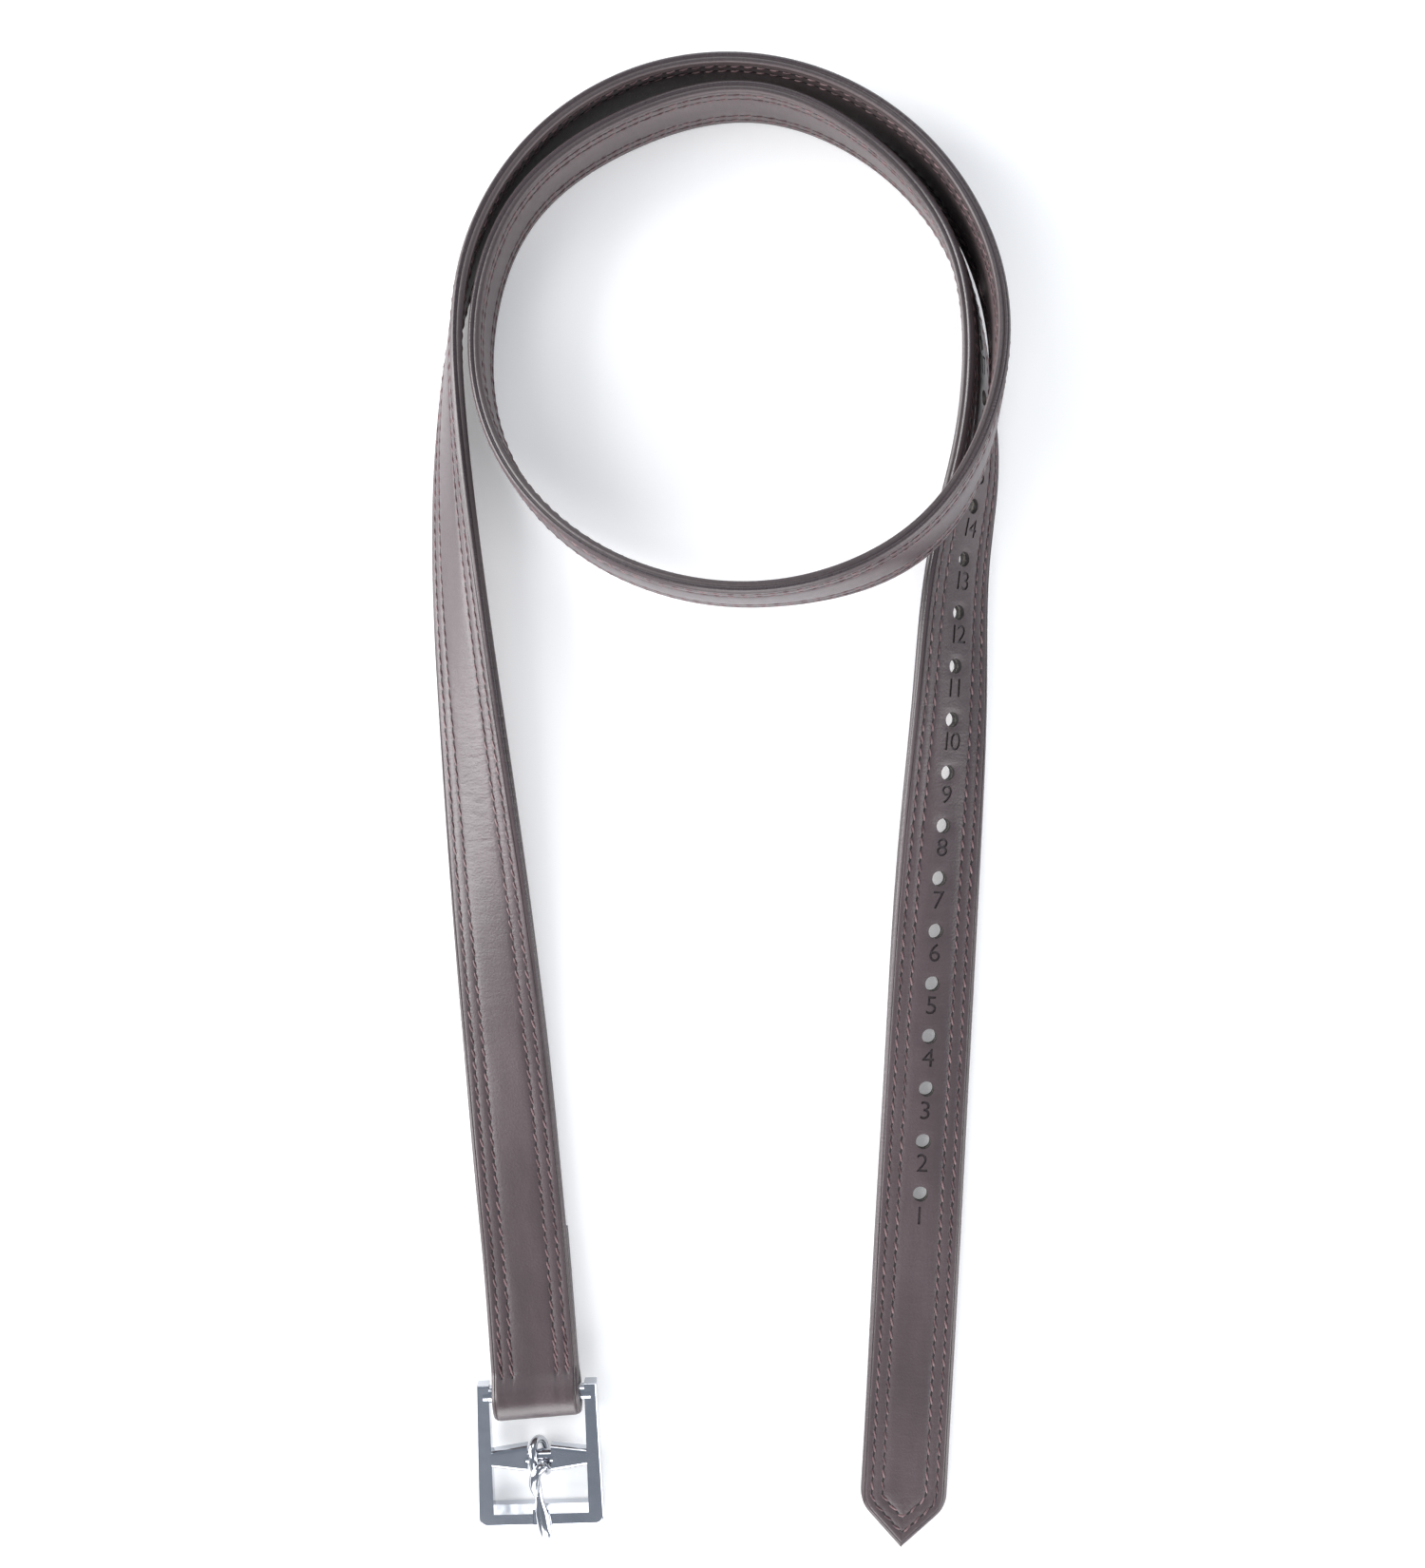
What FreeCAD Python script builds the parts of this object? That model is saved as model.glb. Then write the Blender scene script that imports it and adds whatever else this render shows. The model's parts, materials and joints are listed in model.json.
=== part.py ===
"""Stirrup leather: a twin-layer riding strap, coiled on its edge, with its cast buckle.

One long strap of two leathers over a webbing core is folded round the bar of a square buckle.
From the buckle it runs up one side, turns on to its edge, makes about one and a half turns of a
coil, turns flat again and ends in a pointed tip with a row of punched holes.

Millimetres. +Z is up, the strap lies on Z = 0, and the origin is under the middle of the whole.
"""
import FreeCAD, Part
import Sketcher
import math
import os
from FreeCAD import Placement, Rotation, Vector

DOC = FreeCAD.newDocument("stirrup_leather")

# ---------------------------------------------------------------- driving dimensions
DIMENSIONS = [
    # strap section
    ("strap_width", 25.0),
    ("leather_thickness", 1.25),
    ("core_thickness", 0.9),
    ("glue_gap", 0.05),
    ("core_inset", 1.0),
    # turn-back round the buckle bar
    ("turnback_length", 46.0),
    ("bar_clearance", 0.9),
    ("layer_gap", 0.1),
    ("pinch_length", 7.5),
    ("run_off", 60.0),
    # pointed tip
    ("tip_length", 12.5),
    ("shoulder_radius", 9.0),
    # stitching
    ("outer_row_inset", 3.05),
    ("inner_row_inset", 6.15),
    ("thread_width", 0.7),
    ("thread_rise", 0.16),
    ("thread_seat", 0.14),
    ("row_start", 5.0),
    ("turnback_row_margin", 3.0),
    # tongue holes
    ("hole_diameter", 4.4),
    ("hole_pitch", 15.4),
    ("hole_count", 18),
    ("first_hole", 103.5),
    # buckle frame
    ("window_side_gap", 1.3),
    ("side_bar_top", 3.5),
    ("side_bar_bottom", 4.5),
    ("frame_thickness", 4.6),
    ("corner_rise", 3.4),
    ("frame_drop", 39.7),
    ("bottom_bar_face", 3.8),
    ("bottom_bevel", 2.0),
    ("bar_diameter", 5.0),
    ("centre_bar_drop", 19.4),
    ("centre_bar_end", 4.8),
    ("centre_bar_shoulder", 8.0),
    ("centre_bar_thickness", 4.2),
    ("journal_diameter", 4.4),
    ("corner_radius", 2.6),
    ("edge_radius", 0.6),
    ("buckle_skew", 3.3),
    # tongue
    ("pin_running_gap", 0.1),
    ("eye_side_gap", 0.2),
    ("eye_width", 6.4),
    ("eye_wall", 2.2),
    ("tongue_width", 4.2),
    ("tongue_thickness", 2.6),
    ("tongue_overhang", 3.4),
    ("tail_width", 2.8),
    ("tail_length", 7.4),
    ("notch_depth", 0.8),
    ("notch_side_gap", 0.4),
    ("tongue_seat_gap", 0.3),
]

# Hand-laid stations along the strap, from the buckle bar to the point of the tip:
# x, y of the strap's middle, how far it stands on its edge (0 flat, 90 upright) in degrees,
# and its lift off the ground, in strap widths, where it passes over its own other leg.
STATIONS = [
    (-50.8, -176.5, 0, 0),
    (-54.0, -140.0, 0, 0),
    (-57.5, -104.5, 3, 0),
    (-63.0, -48.5, 17, 0),
    (-68.5, 7.0, 36, 0),
    (-73.5, 61.5, 52, 0),
    (-75.0, 109.0, 71, 0),
    (-70.5, 146.0, 86, 0),
    (-51.5, 179.5, 91, 0),
    (-17.5, 200.5, 91, 0),
    (23.5, 201.0, 91, 0),
    (58.0, 181.0, 92, 0.04),
    (78.5, 144.0, 91, 0.24),
    (78.5, 106.0, 83, 0.6),
    (57.5, 67.5, 75, 0.84),
    (24.5, 53.5, 84, 0.76),
    (-8.0, 54.5, 87, 0.6),
    (-40.5, 70.0, 89, 0.36),
    (-62.0, 99.0, 91, 0.1),
    (-65.5, 135.5, 93, 0),
    (-54.5, 164.5, 92, 0),
    (-24.5, 187.5, 91, 0),
    (12.5, 195.5, 89, 0),
    (45.5, 181.5, 82, 0),
    (68.5, 154.0, 78, 0),
    (76.0, 117.0, 68, 0),
    (75.5, 92.0, 54, 0),
    (71.5, 67.0, 43, 0),
    (69.0, 29.0, 29, 0),
    (66.0, -21.0, 13, 0),
    (63.0, -76.5, 3, 0),
    (60.0, -132.0, 0, 0),
    (57.0, -188.0, 0, 0),
    (55.0, -223.0, 0, 0),
]


def make_sheet():
    """Write every driving dimension into the spreadsheet under its own name."""
    cells = DOC.addObject("Spreadsheet::Sheet", "sheet")
    for row, (name, size) in enumerate(DIMENSIONS, start=1):
        cells.set("A%d" % row, name)
        cells.set("B%d" % row, str(size))
        cells.setAlias("B%d" % row, name)
    DOC.recompute()
    return cells


SHEET = make_sheet()


def size(name):
    """The value of one named cell."""
    return float(getattr(SHEET, name))


# ---------------------------------------------------------------- the strap's path
STRAP_THICKNESS = 2 * size("leather_thickness") + size("core_thickness") + 2 * size("glue_gap")
HALF_WIDTH = size("strap_width") / 2
HALF_THICK = STRAP_THICKNESS / 2
STITCH_STAND = size("thread_rise") + size("thread_seat")
BAR_RADIUS = size("bar_diameter") / 2
FOLD_RADIUS = BAR_RADIUS + size("bar_clearance") + HALF_THICK
BAR_HEIGHT = FOLD_RADIUS + HALF_THICK
FOLD_LENGTH = math.pi * FOLD_RADIUS
STOPS_PER_FACE = 10


def smooth_step(ratio):
    """0 to 1 with level ends."""
    ratio = min(max(ratio, 0.0), 1.0)
    return ratio * ratio * (3 - 2 * ratio)


def natural_spline(knots, values):
    """A cubic through the values that is straight at both ends."""
    count = len(knots)
    gap = [b - a for a, b in zip(knots, knots[1:])]
    diagonal, load = [1.0] * count, [0.0] * count
    for i in range(1, count - 1):
        slope_change = (values[i + 1] - values[i]) / gap[i] - (values[i] - values[i - 1]) / gap[i - 1]
        share = gap[i - 1] / diagonal[i - 1] if i > 1 else 0.0
        diagonal[i] = 2 * (gap[i - 1] + gap[i]) - share * gap[i - 1]
        load[i] = 6 * slope_change - share * load[i - 1]
    bend = [0.0] * count
    for i in range(count - 2, 0, -1):
        bend[i] = (load[i] - gap[i] * bend[i + 1]) / diagonal[i]

    def at(along):
        i = 0
        while i < count - 2 and along > knots[i + 1]:
            i += 1
        near = (knots[i + 1] - along) / gap[i]
        far = 1 - near
        curve = (near ** 3 - near) * bend[i] + (far ** 3 - far) * bend[i + 1]
        return near * values[i] + far * values[i + 1] + curve * gap[i] ** 2 / 6

    return at


KNOTS = [0.0]
for here, ahead in zip(STATIONS, STATIONS[1:]):
    KNOTS.append(KNOTS[-1] + math.hypot(ahead[0] - here[0], ahead[1] - here[1]))
PLAN_X, PLAN_Y, STAND, LIFT = [natural_spline(KNOTS, column) for column in zip(*STATIONS)]
TIP = KNOTS[-1]
TURNBACK_END = -FOLD_LENGTH - size("turnback_length")


def plan_direction(along):
    """Unit direction of travel in plan, and the direction to its right."""
    step = 0.5
    low, high = max(along - step, 0.0), min(along + step, TIP)
    travel = Vector(PLAN_X(high) - PLAN_X(low), PLAN_Y(high) - PLAN_Y(low), 0)
    travel.normalize()
    return travel, Vector(travel.y, -travel.x, 0)


def pair_height(from_bar):
    """Height of the middle between strap and turn-back, from the bar down to the ground."""
    resting = STITCH_STAND + STRAP_THICKNESS + size("layer_gap") / 2
    return resting + (BAR_HEIGHT - resting) * (1 - smooth_step(from_bar / size("turnback_length")))


def pair_spread(from_bar):
    """Half the distance between the middles of strap and turn-back."""
    closed = HALF_THICK + size("layer_gap") / 2
    return closed + (FOLD_RADIUS - closed) * (1 - smooth_step(from_bar / size("pinch_length")))


def strap_height(along):
    """Height of the strap's middle ahead of the bar."""
    stand = math.radians(max(STAND(along), 0.0))
    raised = HALF_WIDTH * math.sin(stand)
    if along <= size("turnback_length"):
        return pair_height(along) + pair_spread(along) + raised
    raised += max(LIFT(along), 0.0) * size("strap_width")
    height = raised + (HALF_THICK + STITCH_STAND) * abs(math.cos(stand))
    past_end = (along - size("turnback_length")) / size("run_off")
    return height + (STRAP_THICKNESS + size("layer_gap")) * (1 - smooth_step(past_end))


def strap_middle(along):
    """Centre of the strap's section: below -FOLD_LENGTH is the turn-back, below 0 the fold."""
    if along >= 0:
        return Vector(PLAN_X(along), PLAN_Y(along), strap_height(along))
    if along <= -FOLD_LENGTH:
        back = -FOLD_LENGTH - along
        return Vector(PLAN_X(back), PLAN_Y(back), pair_height(back) - pair_spread(back))
    angle = -along / FOLD_RADIUS
    travel, _ = plan_direction(0.0)
    middle = Vector(PLAN_X(0.0), PLAN_Y(0.0), BAR_HEIGHT + FOLD_RADIUS * math.cos(angle))
    return middle - travel * (FOLD_RADIUS * math.sin(angle))


def strap_frame(along):
    """Centre, direction of travel, direction across the width, and outward grain direction."""
    step = 0.05
    low, high = max(along - step, TURNBACK_END), min(along + step, TIP)
    centre = strap_middle(along)
    travel = strap_middle(high) - strap_middle(low)
    travel.normalize()
    _, right = plan_direction(along if along >= 0 else max(-FOLD_LENGTH - along, 0.0))
    stand = math.radians(max(STAND(along), 0.0)) if along > 0 else 0.0
    across = right * math.cos(stand) + Vector(0, 0, math.sin(stand))
    across = across - travel * across.dot(travel)
    across.normalize()
    return centre, travel, across, across.cross(travel)


def on_strap(along, across_offset, face_offset):
    """A point given by its place along the strap, across it, and off its middle plane."""
    centre, _, across, outward = strap_frame(along)
    return centre + across * across_offset + outward * face_offset


def stops(start, end):
    """Places to sample between two ends: close together round the bar, wide on the open strap."""
    fine_reach = size("pinch_length") + 2.5
    places = [start]
    while places[-1] < end:
        here = places[-1]
        if -FOLD_LENGTH - fine_reach <= here < fine_reach:
            step = 1.25
        elif here < size("turnback_length") + size("run_off"):
            step = 3.0
        else:
            step = 8.0
        places.append(here + step)
    places[-1] = end
    if places[-1] - places[-2] < 0.4:
        del places[-2]
    return places


# ---------------------------------------------------------------- solids along the strap
def loft(rails, parameters):
    """A solid between four rails, each a list of points for the same parameters."""
    curves = []
    for rail in rails:
        curve = Part.BSplineCurve()
        curve.interpolate(Points=rail, Parameters=parameters)
        curves.append(curve)
    joins = list(range(0, len(parameters) - STOPS_PER_FACE // 2, STOPS_PER_FACE)) + [len(parameters) - 1]
    faces = []
    for curve, neighbour in zip(curves, curves[1:] + curves[:1]):
        for first, last in zip(joins, joins[1:]):
            side = Part.BSplineSurface()
            side.buildFromPolesMultsKnots(
                [curve.getPoles(), neighbour.getPoles()], [2, 2], curve.getMultiplicities(),
                [0, 1], curve.getKnots(), False, False, 1, curve.Degree)
            side.segment(0, 1, parameters[first], parameters[last])
            faces.append(side.toShape())
    for place in (0, -1):
        corners = [rail[place] for rail in rails]
        faces.append(Part.Face(Part.makePolygon(corners + corners[:1])))
    shell = Part.makeShell(faces)
    shell.sewShape()
    solid = Part.makeSolid(shell)
    if solid.Volume < 0:
        solid.reverse()
    return solid


def ribbon(half_width, face_low, face_high, end_inset=0.0):
    """One flat layer of the strap, from the end of the turn-back to the tip."""
    places = stops(TURNBACK_END + end_inset, TIP - end_inset)
    corners = [(-half_width, face_low), (half_width, face_low),
               (half_width, face_high), (-half_width, face_high)]
    rails = [[on_strap(place, *corner) for place in places] for corner in corners]
    return loft(rails, places)


def tip_outline(inset):
    """Half the outline of the point, inset from the cut edge: shoulder centre, radius, apex."""
    half = HALF_WIDTH
    slope = math.atan2(half, size("tip_length"))
    centre_across = half - size("shoulder_radius")
    tangent = size("shoulder_radius") * math.tan(slope / 2)
    centre_along = TIP - size("tip_length") - tangent
    apex = TIP - inset / math.sin(slope)
    return centre_along, centre_across, size("shoulder_radius") - inset, slope, apex


def row_path(inset, start):
    """Middle line of one stitch row as (along, across) pairs: up one side, round the tip, back."""
    centre_along, centre_across, radius, slope, apex = tip_outline(inset)
    half = [(place, HALF_WIDTH - inset) for place in stops(start, centre_along - 1.0)]
    arc_steps = 5
    for i in range(arc_steps + 1):
        turn = slope * i / arc_steps
        half.append((centre_along + radius * math.sin(turn), centre_across + radius * math.cos(turn)))
    apex_round = 1.6
    shoulder_along, shoulder_across = half[-1]
    straight = (shoulder_across - apex_round) / shoulder_across
    for i in (1, 2, 3):
        reach = straight * i / 3
        place = shoulder_along + (apex - shoulder_along) * reach
        half.append((place, shoulder_across * (1 - reach)))
    nose_along = half[-1][0] + 0.45 * (apex - half[-1][0])
    return half + [(nose_along, 0.0)] + [(place, -across) for place, across in reversed(half)]


def thread(path, face_low, face_high):
    """A flat bead of thread along a path of (along, across) pairs."""
    half = size("thread_width") / 2
    corners = [(-half, face_low), (half, face_low), (half, face_high), (-half, face_high)]
    rails = [[], [], [], []]
    parameters = [0.0]
    for i, (place, across) in enumerate(path):
        before, after = path[max(i - 1, 0)], path[min(i + 1, len(path) - 1)]
        run = Vector(after[0] - before[0], after[1] - before[1], 0)
        run.normalize()
        if i:
            parameters.append(parameters[-1] + math.hypot(place - path[i - 1][0], across - path[i - 1][1]))
        for rail, (aside, face) in zip(rails, corners):
            rail.append(on_strap(place - aside * run.y, across + aside * run.x, face))
    return loft(rails, parameters)


def tip_waste():
    """What is cut away round the point of the tip."""
    centre, travel, across, _ = strap_frame(TIP - 0.1)
    centre_along, centre_across, radius, slope, _ = tip_outline(0.0)

    def spot(along, offset):
        return centre + travel * (along - TIP + 0.1) + across * offset

    wings = []
    for side in (1, -1):
        first = spot(centre_along, side * (centre_across + radius))
        half_turn = spot(centre_along + radius * math.sin(slope / 2),
                         side * (centre_across + radius * math.cos(slope / 2)))
        last = spot(centre_along + radius * math.sin(slope),
                    side * (centre_across + radius * math.cos(slope)))
        beyond = size("tip_length")
        rest = [last, spot(TIP, 0), spot(TIP + beyond, 0), spot(TIP + beyond, side * 2 * HALF_WIDTH),
                spot(centre_along, side * 2 * HALF_WIDTH), first]
        edges = [Part.Arc(first, half_turn, last).toShape()]
        edges += [Part.LineSegment(a, b).toShape() for a, b in zip(rest, rest[1:])]
        face = Part.Face(Part.Wire(edges))
        face.translate(Vector(0, 0, -4 * HALF_THICK))
        wings.append(face.extrude(Vector(0, 0, 8 * HALF_THICK)))
    return wings[0].fuse(wings[1])


def punches():
    """One round punch for each tongue hole, square to the strap where it stands."""
    reach = HALF_THICK + 0.3
    tools = []
    for i in range(int(size("hole_count"))):
        centre, _, _, outward = strap_frame(TIP - size("first_hole") - i * size("hole_pitch"))
        start = centre - outward * reach
        tools.append(Part.makeCylinder(size("hole_diameter") / 2, 2 * reach, start, outward))
    return tools


def shape_object(name, shape):
    """Put one finished shape into the document under its own name."""
    piece = DOC.addObject("Part::Feature", name)
    piece.Label = name
    piece.Shape = shape
    return piece


def make_strap():
    """Front leather, webbing core and back leather, cut to the point and punched together."""
    face = HALF_THICK
    leather, core, glue = size("leather_thickness"), size("core_thickness"), size("glue_gap")
    inset = size("core_inset")
    cutters = punches()
    waste = tip_waste()
    layers = {
        "front_leather": ribbon(HALF_WIDTH, face - leather, face),
        "core_webbing": ribbon(HALF_WIDTH - inset, -core / 2, core / 2, end_inset=inset),
        "back_leather": ribbon(HALF_WIDTH, -face, -face + leather),
    }
    pieces = []
    for name, layer in layers.items():
        cut = layer.cut([waste] + cutters)
        pieces.append(shape_object(name, cut.Solids[0]))
    return pieces


def make_threads():
    """Four stitch rows: the needle thread on the grain, the bobbin thread behind."""
    low = HALF_THICK + size("thread_seat")
    high = low + size("thread_rise")
    behind_start = size("turnback_length") + 1.0
    pieces = []
    for row in ("outer", "inner"):
        inset = size(row + "_row_inset")
        front = thread(row_path(inset, size("row_start")), low, high)
        pieces.append(shape_object(row + "_needle_thread", front))
        behind = thread(row_path(inset, behind_start), -high, -low)
        pieces.append(shape_object(row + "_bobbin_thread", behind))
        runs = []
        first = TURNBACK_END + size("turnback_row_margin")
        for side in (1, -1):
            across = side * (HALF_WIDTH - inset)
            places = stops(first, -FOLD_LENGTH - size("row_start"))
            runs.append(thread([(place, across) for place in places], low, high))
        pieces.append(shape_object(row + "_turnback_thread", Part.makeCompound(runs)))
    return pieces


# ---------------------------------------------------------------- the cast buckle
def plane_of(body, role):
    """One of the body's own origin planes."""
    return [item for item in body.Origin.OriginFeatures if item.Role == role][0]


def sketch_on(body, name, role):
    """An empty sketch on one of the body's origin planes."""
    sketch = body.newObject("Sketcher::SketchObject", name)
    sketch.AttachmentSupport = [(plane_of(body, role), "")]
    sketch.MapMode = "FlatFace"
    return sketch


def outline(body, name, role, corners):
    """A closed sketch through corners whose coordinates are sheet formulas."""
    sketch = sketch_on(body, name, role)
    spots = [Vector(SHEET.evalExpression(x), SHEET.evalExpression(y), 0) for x, y in corners]
    for i, spot in enumerate(spots):
        sketch.addGeometry(Part.LineSegment(spot, spots[(i + 1) % len(spots)]), False)
    for i in range(len(spots)):
        sketch.addConstraint(Sketcher.Constraint("Coincident", i, 2, (i + 1) % len(spots), 1))
    for i, (x, y) in enumerate(corners):
        for kind, formula, value in (("DistanceX", x, spots[i].x), ("DistanceY", y, spots[i].y)):
            index = sketch.addConstraint(Sketcher.Constraint(kind, -1, 1, i, 1, value))
            sketch.setExpression("Constraints[%d]" % index, bound(formula))
    return sketch


def bound(formula):
    """The same formula with every cell named in full, as a constraint needs it."""
    names = sorted((name for name, _ in DIMENSIONS), key=len, reverse=True)
    words = formula.replace("(", " ( ").replace(")", " ) ").split()
    return " ".join("sheet." + word if word in names else word for word in words)


def disc(body, name, along_formula, height_formula, diameter_formula):
    """A round sketch in the plane across the bars."""
    sketch = sketch_on(body, name, "YZ_Plane")
    spot = Vector(SHEET.evalExpression(along_formula), SHEET.evalExpression(height_formula), 0)
    diameter = SHEET.evalExpression(diameter_formula)
    sketch.addGeometry(Part.Circle(spot, Vector(0, 0, 1), diameter / 2), False)
    centre = (("DistanceX", along_formula, spot.x), ("DistanceY", height_formula, spot.y))
    for kind, formula, value in centre:
        index = sketch.addConstraint(Sketcher.Constraint(kind, -1, 1, 0, 3, value))
        sketch.setExpression("Constraints[%d]" % index, bound(formula))
    index = sketch.addConstraint(Sketcher.Constraint("Diameter", 0, diameter))
    sketch.setExpression("Constraints[%d]" % index, bound(diameter_formula))
    return sketch


def swept(body, kind, name, sketch, length_formula):
    """A pad or pocket that goes the same way to both sides of its sketch."""
    feature = body.newObject("PartDesign::" + kind, name)
    feature.Profile = sketch
    feature.SideType = "Symmetric"
    feature.Length = SHEET.evalExpression(length_formula)
    feature.setExpression("Length", bound(length_formula))
    before = body_volume(body, feature)
    DOC.recompute()
    change = feature.Shape.Volume - before
    if change <= 0 and kind == "Pad" or change >= 0 and kind == "Pocket":
        raise ValueError("%s changed nothing" % name)
    return feature


def body_volume(body, newest):
    """Volume of the body before its newest feature."""
    base = newest.BaseFeature
    return base.Shape.Volume if base else 0.0


def rounded(body, name, kind, chosen, size_name, formula):
    """A fillet or chamfer on the edges of the last feature that a test chooses."""
    base = body.Tip
    edges = ["Edge%d" % (i + 1) for i, edge in enumerate(base.Shape.Edges) if chosen(edge)]
    feature = body.newObject("PartDesign::" + kind, name)
    feature.Base = (base, edges)
    setattr(feature, size_name, SHEET.evalExpression(formula))
    feature.setExpression(size_name, bound(formula))
    DOC.recompute()
    return feature


def edge_box(edge):
    """Corners of an edge's box, for choosing it by its place."""
    box = edge.BoundBox
    return box.XMin, box.XMax, box.YMin, box.YMax, box.ZMin, box.ZMax


HALF_WINDOW = "( strap_width / 2 + window_side_gap )"
HALF_TOP = "( strap_width / 2 + window_side_gap + side_bar_top )"
HALF_BOTTOM = "( strap_width / 2 + window_side_gap + side_bar_bottom )"
WINDOW_FLOOR = "( 0 - frame_drop + bottom_bar_face + bottom_bevel )"
JOURNAL_HALF = "( eye_width / 2 + eye_side_gap )"


def make_buckle_frame():
    """The one-piece casting: side bars, bottom bar, round top bar and waisted centre bar."""
    body = DOC.addObject("PartDesign::Body", "buckle_frame")
    body.Label = "buckle_frame"
    plate = outline(body, "frame_outline", "XY_Plane", [
        ("0 - " + HALF_TOP, "corner_rise"),
        ("0 - " + HALF_BOTTOM, "0 - frame_drop"),
        (HALF_BOTTOM, "0 - frame_drop"),
        (HALF_TOP, "corner_rise"),
    ])
    swept(body, "Pad", "frame_plate", plate, "frame_thickness")
    window = outline(body, "window_outline", "XY_Plane", [
        ("0 - " + HALF_WINDOW, "2 * corner_rise"),
        ("0 - " + HALF_WINDOW, WINDOW_FLOOR),
        (HALF_WINDOW, WINDOW_FLOOR),
        (HALF_WINDOW, "2 * corner_rise"),
    ])
    swept(body, "Pocket", "frame_window", window, "2 * frame_thickness")

    drop, half_thick = size("frame_drop"), size("frame_thickness") / 2
    inner_edge = -drop + size("bottom_bar_face") + size("bottom_bevel")

    def bevel_edge(edge):
        x_low, x_high, y_low, y_high, z_low, _ = edge_box(edge)
        return x_high - x_low > 20 and abs(y_low - inner_edge) < 0.01 and z_low > half_thick - 0.01

    rounded(body, "bottom_bevel", "Chamfer", bevel_edge, "Size", "bottom_bevel")

    def outer_corner(edge):
        _, _, y_low, _, z_low, z_high = edge_box(edge)
        return z_high - z_low > half_thick and abs(y_low + drop) < 0.01

    rounded(body, "bottom_corners", "Fillet", outer_corner, "Radius", "corner_radius")

    def rim(edge):
        x_low, x_high, y_low, y_high, z_low, z_high = edge_box(edge)
        level = z_high - z_low < 0.01 and abs(abs(z_low) - half_thick) < 0.01
        inner_bevel = abs(y_low + drop - size("bottom_bar_face")) < 0.01
        inner_side = max(abs(x_low), abs(x_high)) < HALF_WIDTH + size("window_side_gap") + 0.01
        return level and not (inner_bevel or inner_side)

    rounded(body, "outer_rim", "Fillet", rim, "Radius", "edge_radius")

    top = disc(body, "top_bar_circle", "0", "0", "bar_diameter")
    swept(body, "Pad", "top_bar", top, "strap_width + 2 * window_side_gap + side_bar_top")
    in_side_bar = "( strap_width / 2 + window_side_gap + 0.5 )"
    for side, name in (("", "right"), ("0 - ", "left")):
        half = outline(body, "centre_bar_%s_outline" % name, "XY_Plane", [
            (side + JOURNAL_HALF, "0 - centre_bar_drop - centre_bar_shoulder / 2"),
            (side + in_side_bar, "0 - centre_bar_drop - centre_bar_end / 2"),
            (side + in_side_bar, "0 - centre_bar_drop + centre_bar_end / 2"),
            (side + JOURNAL_HALF, "0 - centre_bar_drop + centre_bar_shoulder / 2"),
        ])
        swept(body, "Pad", "centre_bar_" + name, half, "centre_bar_thickness")
    journal = disc(body, "journal_circle", "0 - centre_bar_drop", "0", "journal_diameter")
    swept(body, "Pad", "journal", journal, "2 * %s + 1" % JOURNAL_HALF)

    centre, bar_half = -size("centre_bar_drop"), size("centre_bar_thickness") / 2

    def shoulder_edge(edge):
        x_low, x_high, y_low, y_high, z_low, z_high = edge_box(edge)
        near_bar = abs(y_low - centre) < size("centre_bar_shoulder") and abs(abs(z_low) - bar_half) < 0.01
        return near_bar and z_high - z_low < 0.01 and x_high - x_low > 5

    rounded(body, "centre_bar_rounding", "Fillet", shoulder_edge, "Radius", "2 * edge_radius")

    notch = outline(body, "notch_outline", "YZ_Plane", [
        ("0 - frame_drop - 1", "frame_thickness / 2 - notch_depth"),
        (WINDOW_FLOOR + " + 1", "frame_thickness / 2 - notch_depth"),
        (WINDOW_FLOOR + " + 1", "frame_thickness / 2 + 1"),
        ("0 - frame_drop - 1", "frame_thickness / 2 + 1"),
    ])
    swept(body, "Pocket", "tongue_notch", notch, "tongue_width + 2 * notch_side_gap")
    return body


SEAT = "( frame_thickness / 2 - notch_depth + tongue_seat_gap )"
EYE_RADIUS = "( journal_diameter / 2 + pin_running_gap + eye_wall )"
TONGUE_END = "( 0 - frame_drop - tongue_overhang )"


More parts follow.
